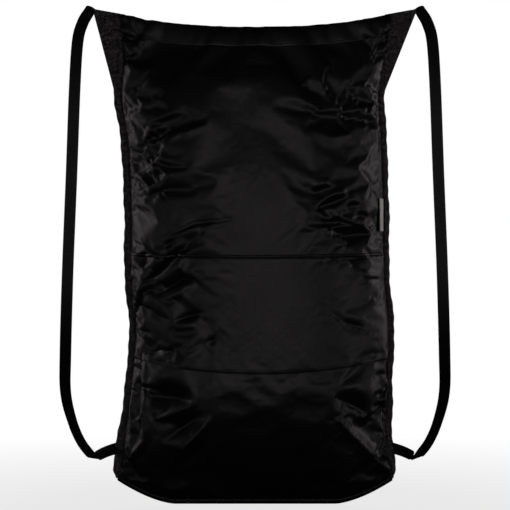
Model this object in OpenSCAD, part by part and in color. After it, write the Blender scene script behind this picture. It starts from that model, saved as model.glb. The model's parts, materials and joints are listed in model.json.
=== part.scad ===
// Drawstring backpack: a soft sack whose mouth is closed by two flat webbing
// straps. Each strap leaves the mouth at a wing, hangs beside the sack as a loop
// and is sewn into the side seam near the bottom.
// Millimetres, +Z up, front towards -Y, origin under the middle of the bottom seam.

/* [Sack] */
// Height of the mouth's edge at its middle
mouth_h = 570; // [540:5:590]
// Height of the mouth's corners above its middle
mouth_rise = 18; // [6:1:24]
// Height of the bottom corners above the middle of the bottom seam
base_rise = 28; // [10:1:34]
// Width across the side seams at the mouth
mouth_w = 326; // [316:2:336]
// Width across the side seams at the waist
waist_w = 302; // [296:2:310]
// Width across the side seams at the bottom corners
base_w = 330; // [320:2:340]
// How far the filled front stands out from the seams
front_bulge = 70; // [50:1:80]
// How far the filled back stands out from the seams
back_bulge = 58; // [45:1:70]
// Opening between the two hems at the middle of the mouth
mouth_gap = 44; // [30:1:60]

/* [Fabric] */
// Thickness of a panel
sheet_t = 1.6; // [1.2:0.1:2.2]
// Height of the hem that the draw tape runs through
hem_h = 24; // [22:1:28]
// Width of the tape folded over each seam
binding_w = 8; // [7:0.5:9]
// Thickness of a bound seam
binding_t = 2.4; // [2:0.1:2.6]

/* [Webbing] */
// Width of the strap webbing
strap_w = 15; // [12:0.5:16]
// Thickness of the strap webbing
strap_t = 1.4; // [1:0.1:1.8]

/* [Pocket] */
// Height of the pocket's hem
pocket_top = 301; // [280:1:320]
// Height of the pocket's bottom seam at its middle
pocket_bottom = 160; // [140:1:180]
// How far the pocket's bottom seam curves up at the sides
pocket_rise = 16; // [0:1:20]

/* [Label] */
// Height of the label's lower end
label_z = 328; // [320:1:340]
// Length of the label along the seam
label_len = 39; // [30:1:45]
// Width of the label
label_w = 14; // [10:1:16]

/* [Hidden] */

fabric_colour = [0.05, 0.05, 0.055];
tape_colour = [0.12, 0.12, 0.12];
webbing_colour = [0.08, 0.08, 0.08];
thread_colour = [0.15, 0.15, 0.15];
label_colour = [0.93, 0.93, 0.91];

FRONT = -1;
BACK = 1;
across = 18;              // grid cells across a panel
upward = 20;              // grid cells up a panel
seam_gap = 0.6;           // between the front and back panels at a seam
wing_gap = 5;             // between them where a wing slides
wing_t = 2;               // thickness of a wing
wing_bottom = 498;        // lower end of a wing
wing_clear = 3;           // from a bound seam's upper end to the wing
wing_tuck = 6;            // how far a wing reaches in behind the side seam
bottom_seam_h = 6;        // height of the bound bottom seam
skin_gap = 0.3;           // between a panel's edge and the tape beside it
tip_x = 195;              // the wing's tip
tip_z = mouth_h + 22;
pivot_top = [198, tip_z]; // upper point of a strap's swing axis, as x and z
pivot_low = [170, 66];    // lower point of that axis, at the strap's sewn end
anchor_x = 171.8;         // where the strap's sewn end begins, clear of the seam
tack_l = 11;
tack_w = 2.5;
tack_t = 0.7;
label_t = 0.9;
label_lean = 17;          // degrees that the label leans in over the front

// Half width across the side seams at height z.
function half_width(z) =
    let (flare = max(0, 1 - (z - base_rise) / 220),
         spread = max(0, (z - 430) / (mouth_h + mouth_rise - 430)))
    waist_w / 2 + (base_w - waist_w) / 2 * pow(min(1, flare), 3)
        + (mouth_w - waist_w) / 2 * spread * spread;

// Heights of the bottom seam and of the mouth's edge; u runs from -1 to 1 across.
flat_share = 0.58;        // share of the bottom seam that is level
function base_z(u) =
    base_rise * pow(max(0, (abs(u) - flat_share) / (1 - flat_share)), 1.6);
function mouth_z(u) = mouth_h + mouth_rise * pow(abs(u), 2.2);

// Share of the full bulge, up a panel (v from 0 to 1) and across it.
low_share = 0.25;
high_share = 0.55;
function bulge_up(v) =
    v < low_share ? pow(1 - pow(1 - v / low_share, 1.6), 0.8)
    : v > high_share ? 1 - pow((v - high_share) / (1 - high_share), 2.2)
    : 1;
function bulge_across(u) = pow(max(0, 1 - pow(abs(u), 2.5)), 0.6);

function half_seam_gap(z) =
    let (t = min(1, max(0, (z - wing_bottom) / 60 + 1)))
    (seam_gap + (wing_gap - seam_gap) * t) / 2;

// How far the panel stands off the seams at u and v.
function depth(u, v, bulge) =
    bulge * bulge_up(v) * bulge_across(u) + mouth_gap / 2 * pow(v, 3) * (1 - u * u);

function height_at(u, v) =
    let (low = base_z(u) + bottom_seam_h + skin_gap) low + v * (mouth_z(u) - low);

// A point of a panel's outer face, pushed out by lift.
function outer_point(side, u, v, bulge, lift = 0) =
    let (z = height_at(u, v))
    [half_width(z) * u, side * (half_seam_gap(z) + depth(u, v, bulge) + lift), z];

// The same point on the inner face.
function inner_point(side, u, v, bulge) =
    let (z = height_at(u, v) + sheet_t * pow(1 - v, 6),
         d = depth(u, v, bulge),
         middle = max(depth(0, v, bulge), 3 * sheet_t))
    [(half_width(z) - sheet_t) * u,
     side * (half_seam_gap(z) + d * (1 - sheet_t / middle)), z];

// Points across a panel, closer together near its sides.
function spread_u(i, cells, reach = 1) = reach * sin(90 * (2 * i / cells - 1));
// Points up a panel, closer together near its bottom.
function spread_v(j, cells, low, high) = low + (high - low) * pow(j / cells, 1.35);

// A closed solid between two grids of points with the same rows and columns.
// The first grid is the face that looks towards side.
module shell_between(face, lining, side) {
    rows = len(face);
    cols = len(face[0]);
    points = [for (grid = [face, lining]) for (row = grid) for (p = row) p];
    function at(k, i, j) = k * rows * cols + i * cols + j;
    skins = [for (k = [0, 1]) for (i = [0:rows - 2]) for (j = [0:cols - 2])
        let (quad = [at(k, i, j), at(k, i, j + 1), at(k, i + 1, j + 1), at(k, i + 1, j)])
        (k == 0) == (side == FRONT) ? quad : [quad[3], quad[2], quad[1], quad[0]]];
    row_ends = [for (i = [0, rows - 1]) for (j = [0:cols - 2])
        let (quad = [at(0, i, j), at(1, i, j), at(1, i, j + 1), at(0, i, j + 1)])
        (i == 0) == (side == FRONT) ? quad : [quad[3], quad[2], quad[1], quad[0]]];
    col_ends = [for (j = [0, cols - 1]) for (i = [0:rows - 2])
        let (quad = [at(0, i, j), at(0, i + 1, j), at(1, i + 1, j), at(1, i, j)])
        (j == 0) == (side == FRONT) ? quad : [quad[3], quad[2], quad[1], quad[0]]];
    polyhedron(points, concat(skins, row_ends, col_ends), convexity = 8);
}

// v of the lower edge of the hem.
hem_v = 1 - hem_h / (mouth_h - bottom_seam_h);

module panel(side, bulge) {
    top = hem_v - 1.2 / mouth_h;
    face = [for (i = [0:across]) [for (j = [0:upward])
        outer_point(side, spread_u(i, across), spread_v(j, upward, 0, top), bulge)]];
    lining = [for (i = [0:across]) [for (j = [0:upward])
        inner_point(side, spread_u(i, across), spread_v(j, upward, 0, top), bulge)]];
    color(fabric_colour) shell_between(face, lining, side);
}

// Hem: a flat tube that follows the mouth, open at both ends for the draw tape.
hem_skin = 1;
hem_slot = 2.4;
hem_reach = 0.97;
hem_cells = 26;
// One ring of a hem or tape at u: inner and outer offsets, lower and upper v.
function band_ring(side, u, bulge, near, far, low, high) =
    [outer_point(side, u, low, bulge, near), outer_point(side, u, low, bulge, far),
     outer_point(side, u, high, bulge, far), outer_point(side, u, high, bulge, near)];

module hem(side, bulge) {
    margin = (1 - hem_v) * 0.09;
    far = hem_skin * 2 + hem_slot;
    rings = [for (i = [0:hem_cells]) let (u = spread_u(i, hem_cells, hem_reach)) concat(
        band_ring(side, u, bulge, 0, far, hem_v, 1),
        band_ring(side, u, bulge, hem_skin, hem_skin + hem_slot, hem_v + margin, 1 - margin))];
    points = [for (ring = rings) for (p = ring) p];
    walls = [for (i = [0:hem_cells - 1]) for (k = [0, 1]) for (c = [0:3])
        let (a = i * 8 + k * 4 + c, b = i * 8 + k * 4 + (c + 1) % 4,
             quad = [a, b, b + 8, a + 8])
        (k == 0) == (side == FRONT) ? quad : [quad[3], quad[2], quad[1], quad[0]]];
    ends = [for (i = [0, hem_cells]) for (c = [0:3])
        let (a = i * 8 + c, b = i * 8 + (c + 1) % 4, quad = [b, a, a + 4, b + 4])
        (i == 0) == (side == FRONT) ? quad : [quad[3], quad[2], quad[1], quad[0]]];
    color(fabric_colour) polyhedron(points, concat(walls, ends), convexity = 8);
}

// The part of a strap's webbing that lies inside the hem.
module draw_tape(side, bulge) {
    near = hem_skin + (hem_slot - strap_t) / 2;
    middle = (1 + hem_v) / 2;
    half = strap_w / 2 / mouth_h;
    rings = [for (i = [0:hem_cells]) band_ring(side, spread_u(i, hem_cells, hem_reach - 0.01),
        bulge, near, near + strap_t, middle - half, middle + half)];
    points = [for (ring = rings) for (p = ring) p];
    walls = [for (i = [0:hem_cells - 1]) for (c = [0:3])
        let (a = i * 4 + c, b = i * 4 + (c + 1) % 4, quad = [a, b, b + 4, a + 4])
        side == FRONT ? quad : [quad[3], quad[2], quad[1], quad[0]]];
    last = hem_cells * 4;
    start_cap = [3, 2, 1, 0];
    end_cap = [last, last + 1, last + 2, last + 3];
    function turned(quad) = [quad[3], quad[2], quad[1], quad[0]];
    caps = side == FRONT ? [start_cap, end_cap] : [turned(start_cap), turned(end_cap)];
    color(webbing_colour) polyhedron(points, concat(walls, caps), convexity = 8);
}

// Patch pocket over the front, sewn into the side seams.
module front_pocket() {
    cells = 5;
    lift = 1.2;
    function v_of(u, t) =
        let (low = base_z(u) + bottom_seam_h,
             bottom = pocket_bottom + pocket_rise * u * u,
             z = bottom + t * (pocket_top - bottom))
        (z - low) / (mouth_z(u) - low);
    function lifted(u, v, extra) =
        let (p = outer_point(FRONT, u, v, front_bulge + extra, extra + lift - seam_gap / 2))
        [p[0] + extra * u, p[1], p[2]];
    face = [for (i = [0:across]) let (u = spread_u(i, across))
        [for (j = [0:cells]) lifted(u, v_of(u, j / cells), sheet_t)]];
    lining = [for (i = [0:across]) let (u = spread_u(i, across))
        [for (j = [0:cells]) lifted(u, v_of(u, j / cells), 0.6)]];
    color(fabric_colour) shell_between(face, lining, FRONT);
}

// A flat piece in the plane of the side seams, from an outline in x and z.
module flat_piece(outline, thickness) {
    rotate([90, 0, 0]) linear_extrude(thickness, center = true) polygon(outline);
}

// Tape folded over the left side seam.
module side_binding_left() {
    steps = 24;
    low = base_rise + bottom_seam_h;
    high = wing_bottom - wing_clear;
    heights = [for (i = [0:steps]) low + (high - low) * i / steps];
    outline = concat(
        [for (z = heights) [-half_width(z) - skin_gap, z]],
        [for (i = [steps:-1:0]) [-half_width(heights[i]) - binding_w, heights[i]]]);
    color(tape_colour) flat_piece(outline, binding_t);
}

// Tape folded over the bottom seam. Its middle is level and the sack rests on it.
module bottom_binding() {
    steps = 8;
    ends = [for (i = [0:steps]) flat_share + (1 - flat_share) * i / steps];
    function edge(u, lift) = [half_width(base_z(u)) * u, base_z(u) + lift];
    right = [for (u = ends) edge(u, 0)];
    outline = concat(
        right,
        [for (i = [steps:-1:0]) edge(ends[i], bottom_seam_h)],
        [for (u = ends) edge(-u, bottom_seam_h)],
        [for (i = [steps:-1:0]) edge(-ends[i], 0)]);
    color(tape_colour) flat_piece(outline, binding_t);
}

// Triangular wing at the left corner of the mouth, where the strap comes out.
module wing_left() {
    top = mouth_h + mouth_rise;
    steps = 6;
    inner = [for (i = [0:steps]) let (z = wing_bottom + (top - wing_bottom) * i / steps)
        [-half_width(z) + wing_tuck, z]];
    outline = concat(inner, [[-tip_x + 6, tip_z + 3], [-tip_x, tip_z - 2],
        [-tip_x + 8, mouth_h - 12], [-half_width(wing_bottom) - binding_w, wing_bottom]]);
    color(tape_colour) flat_piece(outline, wing_t);
}

// Bars of thread on both faces of a flat piece that is thickness thick.
module tack(x, z, thickness) {
    for (side = [FRONT, BACK])
        translate([x, side * (thickness / 2 + 0.1 + tack_t / 2), z])
            cube([tack_w, tack_t, tack_l], center = true);
}

module wing_tack_left() {
    color(thread_colour) for (step = [0, 5])
        tack(-tip_x + 10 + step, tip_z - 10, wing_t);
}

module anchor_tack_left() {
    x = -half_width(pivot_low[1]) - binding_w / 2;
    color(thread_colour) tack(x, pivot_low[1], binding_t);
}

// Points on the left strap's middle line, from the wing's tip to the fold.
strap_line = [[-204, tip_z - 1], [-208.5, tip_z - 16], [-213, tip_z - 40], [-216, 500],
              [-220, 400], [-224.5, 280], [-227.5, 180], [-227, 136], [-219.5, 102],
              [-209, 76], [-192, 56]];
function curve(a, b, c, d, t) = 0.5 * (2 * b + (c - a) * t
    + (2 * a - 5 * b + 4 * c - d) * t * t + (3 * b - a - 3 * c + d) * t * t * t);
function smooth_line(line, steps) =
    let (last = len(line) - 1)
    concat([for (i = [0:last - 1]) for (k = [0:steps - 1])
        curve(line[max(0, i - 1)], line[i], line[i + 1], line[min(last, i + 2)], k / steps)],
        [line[last]]);
// The edges of a band that follows line, as one closed outline.
function band_outline(line, width) =
    let (last = len(line) - 1,
         normals = [for (i = [0:last])
             let (d = line[min(last, i + 1)] - line[max(0, i - 1)]) [-d[1], d[0]] / norm(d)])
    concat([for (i = [0:last]) line[i] + normals[i] * width / 2],
           [for (i = [last:-1:0]) line[i] - normals[i] * width / 2]);

// Webbing loop beside the sack, folded over at the wing's tip, and with its sewn
// end folded towards the side seam.
module strap_left() {
    last = len(strap_line) - 1;
    top = strap_line[0];
    fold = strap_line[last];
    color(webbing_colour) rotate([90, 0, 0])
        linear_extrude(strap_t, center = true) {
            polygon(band_outline(smooth_line(strap_line, 5), strap_w));
            polygon([top + [-4, -4], top + [-5, 3], [-pivot_top[0], tip_z + 3],
                [-pivot_top[0], tip_z - 6]]);
            polygon([fold + [-6, -7], fold + [-3, 6], [-anchor_x, pivot_low[1] + 5],
                [-anchor_x, pivot_low[1] - 6]]);
        }
}

// Blank woven label in the right side seam, leaning in over the front.
label_hinge_x = half_width(label_z) + 2.5;
label_hinge_y = -binding_t / 2 - 0.7;
module side_label() {
    color(label_colour) translate([label_hinge_x, label_hinge_y, label_z])
        rotate([0, 0, -label_lean]) translate([-label_t / 2, -label_w, 0])
            cube([label_t, label_w, label_len]);
}

panel(FRONT, front_bulge);  // front_panel
panel(BACK, back_bulge);  // back_panel
hem(FRONT, front_bulge);  // front_hem
hem(BACK, back_bulge);  // back_hem
draw_tape(FRONT, front_bulge);  // front_draw_tape
draw_tape(BACK, back_bulge);  // back_draw_tape
front_pocket();
side_binding_left();
mirror([1, 0, 0]) side_binding_left();  // side_binding_right
bottom_binding();
wing_left();
mirror([1, 0, 0]) wing_left();  // wing_right
wing_tack_left();
mirror([1, 0, 0]) wing_tack_left();  // wing_tack_right
strap_left();
mirror([1, 0, 0]) strap_left();  // strap_right
anchor_tack_left();
mirror([1, 0, 0]) anchor_tack_left();  // anchor_tack_right
side_label();
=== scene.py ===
"""Drawstring backpack: fabric, tapes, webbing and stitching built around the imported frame."""
import json
import math

import bpy
import numpy as np
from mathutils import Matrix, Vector


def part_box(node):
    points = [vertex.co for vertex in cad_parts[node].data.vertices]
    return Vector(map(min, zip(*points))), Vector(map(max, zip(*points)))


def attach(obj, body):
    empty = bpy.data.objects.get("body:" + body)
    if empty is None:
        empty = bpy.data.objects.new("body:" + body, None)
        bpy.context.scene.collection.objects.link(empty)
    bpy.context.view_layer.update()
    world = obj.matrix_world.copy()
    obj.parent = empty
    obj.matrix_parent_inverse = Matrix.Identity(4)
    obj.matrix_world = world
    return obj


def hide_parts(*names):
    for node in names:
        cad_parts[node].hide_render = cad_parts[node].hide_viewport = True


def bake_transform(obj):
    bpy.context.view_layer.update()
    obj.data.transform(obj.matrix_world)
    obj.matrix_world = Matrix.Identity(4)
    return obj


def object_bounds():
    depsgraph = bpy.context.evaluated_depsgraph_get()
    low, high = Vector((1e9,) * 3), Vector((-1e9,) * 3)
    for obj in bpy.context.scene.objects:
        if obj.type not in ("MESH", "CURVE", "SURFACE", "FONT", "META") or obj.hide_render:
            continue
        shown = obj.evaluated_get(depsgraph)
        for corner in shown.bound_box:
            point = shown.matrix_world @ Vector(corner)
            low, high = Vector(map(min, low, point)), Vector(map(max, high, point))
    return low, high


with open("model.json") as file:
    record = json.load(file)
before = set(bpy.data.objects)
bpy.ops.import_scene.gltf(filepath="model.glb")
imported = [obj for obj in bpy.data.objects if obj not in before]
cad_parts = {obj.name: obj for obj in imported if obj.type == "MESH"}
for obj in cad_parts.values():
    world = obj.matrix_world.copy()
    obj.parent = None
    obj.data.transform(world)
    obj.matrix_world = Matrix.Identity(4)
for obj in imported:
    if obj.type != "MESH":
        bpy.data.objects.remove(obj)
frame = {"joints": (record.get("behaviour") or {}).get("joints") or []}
cad_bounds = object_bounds()

MM = 0.001
FRONT, BACK = -1, 1
FACES = {FRONT: "front", BACK: "back"}
HANDS = {-1: "left", 1: "right"}

# ---------------------------------------------------------------- sizes the frame doesn't give
HEM_H = 24 * MM            # height of the hem at the mouth
SEAM_H = 6 * MM            # height of the bound bottom seam
TAPE_W = {-1: 9.0 * MM, 1: 7.4 * MM}    # width of the tape over each side seam
STRAP_W = 14 * MM
STRAP_T = 1.4 * MM
MOUTH_GAP = 44 * MM        # opening between the hems at the middle of the mouth
HEM_REACH = 0.97           # share of the mouth's width that a hem covers
FLAT_SHARE = 0.58          # share of the bottom seam that is level
SEAM_GAP = 0.6 * MM        # between the panels' edges at a bound seam
FOLD_ROOM = 4 * MM         # the smooth shape stays this far inside the frame's box

# ---------------------------------------------------------------- sizes read from the frame
panel_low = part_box("front_panel")[0]
back_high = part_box("back_panel")[1]
hem_low, hem_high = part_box("front_hem")
bottom_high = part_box("bottom_binding")[1]
tape_low, tape_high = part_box("side_binding_left")
wing_low, wing_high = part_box("wing_left")
pocket_low, pocket_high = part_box("front_pocket")
label_low, label_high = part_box("side_label")

WAIST = -tape_high.x - 0.3 * MM
BASE = bottom_high.x
BASE_RISE = bottom_high.z - SEAM_H
MOUTH = hem_high.x / HEM_REACH
MOUTH_MIDDLE = hem_low.z + HEM_H
MOUTH_RISE = (hem_high.z - MOUTH_MIDDLE) / HEM_REACH ** 2.2
WING_BOTTOM = wing_low.z
WING_TIP = Vector((wing_low.x, 0, wing_high.z))
BULGE = {FRONT: -panel_low.y - FOLD_ROOM, BACK: back_high.y - FOLD_ROOM}


# ---------------------------------------------------------------- shape of the sack
def half_width(z):
    """Half width across the side seams at height z."""
    flare = np.clip(1 - (z - BASE_RISE) / (220 * MM), 0, 1)
    spread = np.clip((z - 380 * MM) / (MOUTH_MIDDLE + MOUTH_RISE - 380 * MM), 0, None)
    return WAIST + (BASE - WAIST) * flare ** 3 + (MOUTH - WAIST) * spread ** 2


def sway(z):
    """How far the filled sack leans sideways at height z."""
    return (9 * np.exp(-((z - 205 * MM) / (60 * MM)) ** 2)
            + 3 * np.exp(-((z - 340 * MM) / (60 * MM)) ** 2)
            + 3 * np.exp(-((z - 125 * MM) / (32 * MM)) ** 2)
            - 6 * np.exp(-((z - 490 * MM) / (38 * MM)) ** 2)) * MM


def base_height(u):
    """Height of the bottom seam at u, which runs from -1 to 1 across the sack."""
    rise = np.clip((np.abs(u) - FLAT_SHARE) / (1 - FLAT_SHARE), 0, None)
    return BASE_RISE * rise ** 1.6


def mouth_height(u):
    return MOUTH_MIDDLE + MOUTH_RISE * np.abs(u) ** 2.2


def height_at(u, v):
    """Height at v, which runs from 0 at the bottom seam to 1 at the mouth."""
    low = base_height(u) + SEAM_H
    return low + v * (mouth_height(u) - low)


def v_at(u, z):
    """The v that has height z."""
    low = base_height(u) + SEAM_H
    return (z - low) / (mouth_height(u) - low)


def bulge_up(v):
    """Share of the full bulge from the bottom seam (v = 0) to the mouth (v = 1)."""
    low, high = 0.25, 0.55
    rounded = (1 - np.clip(1 - v / low, 0, 1) ** 1.6) ** 0.8
    leaning = 1 - np.clip((v - high) / (1 - high), 0, 1) ** 2.2
    return rounded * leaning


def bulge_across(u):
    return np.clip(1 - np.abs(u) ** 2.5, 0, None) ** 0.6


def sack_points(side, u, v):
    """Points of the smooth filled sack, on one side of the seams."""
    z = height_at(u, v)
    out = BULGE[side] * bulge_up(v) * bulge_across(u) + MOUTH_GAP / 2 * v ** 3 * (1 - u * u)
    return np.stack([half_width(z) * u + sway(z), side * (SEAM_GAP / 2 + out), z], axis=-1)


# ---------------------------------------------------------------- grids
ACROSS, UPWARD = 84, 140   # cells of the grid that is simulated
FINER = 2                  # cells of the shown grid for each simulated cell
V_POWER = 1.2              # closer rows near the bottom


def u_of(i, cells):
    return np.sin(math.pi / 2 * (2 * i / cells - 1))


def v_of(j, cells):
    return (j / cells) ** V_POWER


def grid_uv(across, upward):
    u = u_of(np.arange(across + 1), across)
    v = v_of(np.arange(upward + 1), upward)
    return np.meshgrid(u, v)


def catmull(cells, places):
    """Matrix that interpolates a row of cells + 1 values at fractional places."""
    places = np.clip(places, 0, cells)
    first = np.clip(np.floor(places).astype(int), 0, cells - 1)
    t = places - first
    weights = 0.5 * np.stack([-t + 2 * t ** 2 - t ** 3, 2 - 5 * t ** 2 + 3 * t ** 3,
                              t + 4 * t ** 2 - 3 * t ** 3, -t ** 2 + t ** 3], axis=-1)
    matrix = np.zeros((len(places), cells + 3))
    for k in range(4):
        matrix[np.arange(len(places)), first + k] = weights[:, k]
    inner = matrix[:, 1:-1].copy()      # the two outer columns stand for values past the ends
    inner[:, 0] += 2 * matrix[:, 0]
    inner[:, 1] -= matrix[:, 0]
    inner[:, -1] += 2 * matrix[:, -1]
    inner[:, -2] -= matrix[:, -1]
    return inner


def refine(grid, times):
    """The same surface with times as many cells each way."""
    rows, cols = grid.shape[0] - 1, grid.shape[1] - 1
    up = catmull(rows, np.arange(rows * times + 1) / times)
    along = catmull(cols, np.arange(cols * times + 1) / times)
    return np.einsum("ar,rck,bc->abk", up, grid, along)


def unit(vectors):
    return vectors / np.linalg.norm(vectors, axis=-1, keepdims=True)


def runs(points, axis):
    """Distance travelled along the points, starting at 0."""
    steps = np.linalg.norm(np.diff(points, axis=axis), axis=-1)
    return np.insert(np.cumsum(steps, axis=axis), 0, 0, axis=axis)


def grid_normals(grid, side):
    """Unit normals of a grid of points, pointing out of the sack."""
    du = np.gradient(grid, axis=1)
    dv = np.gradient(grid, axis=0)
    normals = np.cross(du, dv) * (-side)
    normals /= np.linalg.norm(normals, axis=-1, keepdims=True) + 1e-12
    return normals


# ---------------------------------------------------------------- folds in the fabric
def along_line(points, x, z):
    """(share along the line, signed distance from it) of each x, z."""
    points = np.array(points, float) * MM
    steps = np.linalg.norm(np.diff(points, axis=0), axis=1)
    total = steps.sum()
    best = np.full(x.shape, 1e9)
    share = np.zeros(x.shape)
    signed = np.zeros(x.shape)
    done = 0.0
    for start, end, length in zip(points[:-1], points[1:], steps):
        dx, dz = (end - start) / length
        along = (x - start[0]) * dx + (z - start[1]) * dz
        nearest = np.clip(along, 0, length)
        off = np.hypot(x - start[0] - nearest * dx, z - start[1] - nearest * dz)
        sign = np.sign((z - start[1]) * dx - (x - start[0]) * dz)
        closer = off < best
        best = np.where(closer, off, best)
        share = np.where(closer, (done + nearest) / total, share)
        signed = np.where(closer, sign * off, signed)
        done += length
    return share, signed


def fold(x, z, points, width, height, lip=0.35):
    """A crease along points: a ridge, or a valley if height is negative, with a lip beside it."""
    share, off = along_line(points, x, z)
    taper = np.clip(4 * share * (1 - share), 0, 1)
    off = off / (width * MM * (0.45 + 0.55 * taper))
    shape = np.exp(-np.abs(off) ** 1.5) - lip * np.exp(-((off - 2.2) / 1.3) ** 2)
    return height * MM * taper * shape


# Each fold: points as x, z in millimetres, width, height.
CORNER_FOLDS = [
    ([(-160, 590), (-144, 579), (-124, 562)], 4.5, 7.0),
    ([(-166, 575), (-150, 566), (-131, 551)], 4.5, 7.0),
    ([(-164, 559), (-150, 552), (-138, 545)], 4.5, 5.5),
    ([(-163, 536), (-146, 533), (-130, 530)], 4.5, -4.5),
    ([(168, 586), (153, 570), (138, 550)], 6, 8.0),
    ([(166, 560), (156, 552), (149, 538)], 4.5, 4.5),
]
LEFT_FOLDS = [
    ([(-133, 451), (-108, 455), (-83, 464)], 4, -5.0),
    ([(-128, 436), (-112, 439), (-98, 447)], 5, -6.0),
    ([(-122, 428), (-88, 440), (-54, 451)], 6, 3.5),
    ([(-129, 417), (-118, 417), (-107, 423)], 6, -6.5),
    ([(-127, 411), (-104, 403), (-78, 401)], 4, -6.0),
    ([(-129, 396), (-116, 391), (-101, 394)], 5, -6.5),
    ([(-148, 396), (-138, 384), (-126, 375)], 3, -5.5),
    ([(-122, 372), (-98, 376), (-70, 373)], 8, -2.5),
    ([(-140, 490), (-122, 486), (-104, 488)], 6, -3.0),
    ([(-134, 470), (-116, 472), (-98, 468)], 5, -3.5),
]
POCKET_FOLDS = [
    ([(-16, 342), (-71, 336), (-94, 326), (-114, 316)], 2.2, -2.6),
    ([(-93, 318), (-109, 307)], 3, -4.5),
    ([(-80, 309), (-101, 294), (-117, 279), (-131, 266)], 6, -10.0),
    ([(-98, 306), (-124, 277), (-139, 253), (-144, 225)], 4, 5.5),
    ([(-127, 305), (-128, 284)], 5, -6.5),
    ([(-68, 270), (-86, 271), (-110, 253)], 5, -7.0),
    ([(-58, 233), (-80, 227), (-98, 220)], 4, -4.5),
    ([(-44, 201), (-58, 197)], 4, -3.5),
    ([(-95, 186), (-112, 187), (-130, 180)], 4, -4.5),
]
RIGHT_FOLDS = [
    ([(66, 370), (82, 376), (97, 379)], 4, -5.0),
    ([(76, 363), (92, 370), (108, 376)], 4, 3.5),
    ([(70, 352), (90, 360), (112, 370)], 4, -6.5),
    ([(107, 355), (125, 358)], 4, -6.0),
    ([(77, 337), (98, 338), (120, 334)], 3, -6.0),
    ([(114, 342), (126, 346), (138, 343)], 3, -5.0),
    ([(90, 326), (110, 322), (133, 327)], 7, -11.0),
    ([(110, 286), (122, 291), (134, 295)], 4, -7.0),
    ([(120, 281), (134, 276), (148, 276)], 3, 3.5),
    ([(100, 221), (114, 217), (130, 213)], 5, -4.5),
]
SHOULDER_FOLDS = [
    ([(14, 489), (50, 482), (77, 470), (116, 474)], 9, 2.6),
    ([(20, 473), (60, 467), (95, 461), (120, 466)], 8, -2.4),
    ([(52, 496), (84, 486)], 6, -3.0),
    ([(108, 492), (124, 484), (139, 480)], 7, -5.5),
    ([(100, 463), (120, 460), (141, 461)], 6, -6.5),
    ([(131, 452), (141, 462)], 5, -5.0),
    ([(60, 446), (92, 438), (122, 447)], 9, 2.8),
    ([(-20, 520), (30, 524), (80, 516)], 12, -2.2),
    ([(-70, 510), (-30, 500), (10, 503)], 12, 1.8),
]
BOTTOM_FOLDS = [
    ([(-139, 196), (-146, 165), (-148, 130), (-147, 95), (-150, 62)], 3.2, 5.0),
    ([(-131, 190), (-138, 160), (-140, 125), (-138, 92), (-141, 66)], 3.2, -5.0),
    ([(-124, 150), (-131, 120), (-129, 90), (-133, 60)], 3.6, 4.5),
    ([(158, 190), (151, 165), (155, 140), (149, 118), (157, 92)], 4, 5.0),
    ([(-128, 133), (-104, 132), (-72, 128)], 13, -13.0),
    ([(-68, 128), (-92, 117), (-118, 104)], 6, 6.5),
    ([(-62, 115), (-84, 97), (-108, 80)], 8, -8.0),
    ([(-50, 110), (-76, 82), (-96, 52)], 7, 8.0),
    ([(-132, 114), (-142, 100), (-138, 84)], 3, 5.0),
    ([(-131, 80), (-151, 54)], 4, 4.5),
    ([(-151, 172), (-136, 158)], 3, -4.0),
    ([(-141, 143), (-124, 141), (-106, 137)], 3, -4.0),
    ([(-134, 202), (-114, 190)], 3, -4.0),
    ([(94, 110), (122, 78), (145, 52), (170, 36)], 9, 10.0),
    ([(150, 128), (158, 104), (168, 78)], 7, -7.0),
    ([(92, 135), (112, 124), (132, 112)], 10, -9.0),
    ([(158, 156), (151, 128), (161, 108)], 3, 4.5),
    ([(-115, 24), (-96, 20), (-74, 27)], 7, 5.0),
]
FRONT_FOLDS = (CORNER_FOLDS + LEFT_FOLDS + POCKET_FOLDS + RIGHT_FOLDS
               + SHOULDER_FOLDS + BOTTOM_FOLDS)
BROAD = 5                  # folds at least this wide go in before the cloth settles


def side_pleats(x, z, seed):
    """Small puckers that run in from both side seams."""
    rng = np.random.default_rng(seed)
    total = np.zeros(x.shape)
    for sign in (-1, 1):
        level = 40.0
        while level < 560:
            level += rng.uniform(11, 30)
            edge = float(half_width(np.array(level * MM))) / MM
            length = rng.uniform(8, 24)
            slope = rng.uniform(-0.5, 0.5)
            start = (sign * (edge + 1), level)
            end = (sign * (edge - length), level + slope * length)
            height = rng.uniform(0.5, 1.5) * rng.choice([-1, 1])
            total += fold(x, z, [start, end], rng.uniform(2.4, 4.5), height)
    return total


def bottom_pleats(x, z, seed):
    """Small puckers that rise from the bottom seam."""
    rng = np.random.default_rng(seed)
    total = np.zeros(x.shape)
    place = -150.0
    while place < 150:
        place += rng.uniform(8, 20)
        length = rng.uniform(14, 40)
        lean = rng.uniform(-0.35, 0.35)
        low = float(base_height(np.array(place * MM / BASE))) / MM + 4
        height = rng.uniform(0.8, 2.4) * rng.choice([-1, 1])
        total += fold(x, z, [(place, low), (place + lean * length, low + length)],
                      rng.uniform(2.5, 4), height)
    return total


def loose_folds(x, z, seed, count, reach):
    """Scattered shallow folds, mostly level, such as a half-full sack has."""
    rng = np.random.default_rng(seed)
    total = np.zeros(x.shape)
    for _ in range(count):
        cx, cz = rng.uniform(-reach, reach), rng.uniform(60, 540)
        length = rng.uniform(30, 90)
        angle = rng.normal(0, 0.5)
        dx, dz = math.cos(angle) * length / 2, math.sin(angle) * length / 2
        bend = rng.uniform(-8, 8)
        height = rng.uniform(1.0, 3.2) * rng.choice([-1, 1])
        total += fold(x, z, [(cx - dx, cz - dz), (cx, cz + bend), (cx + dx, cz + dz)],
                      rng.uniform(4, 9), height)
    return total


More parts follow.
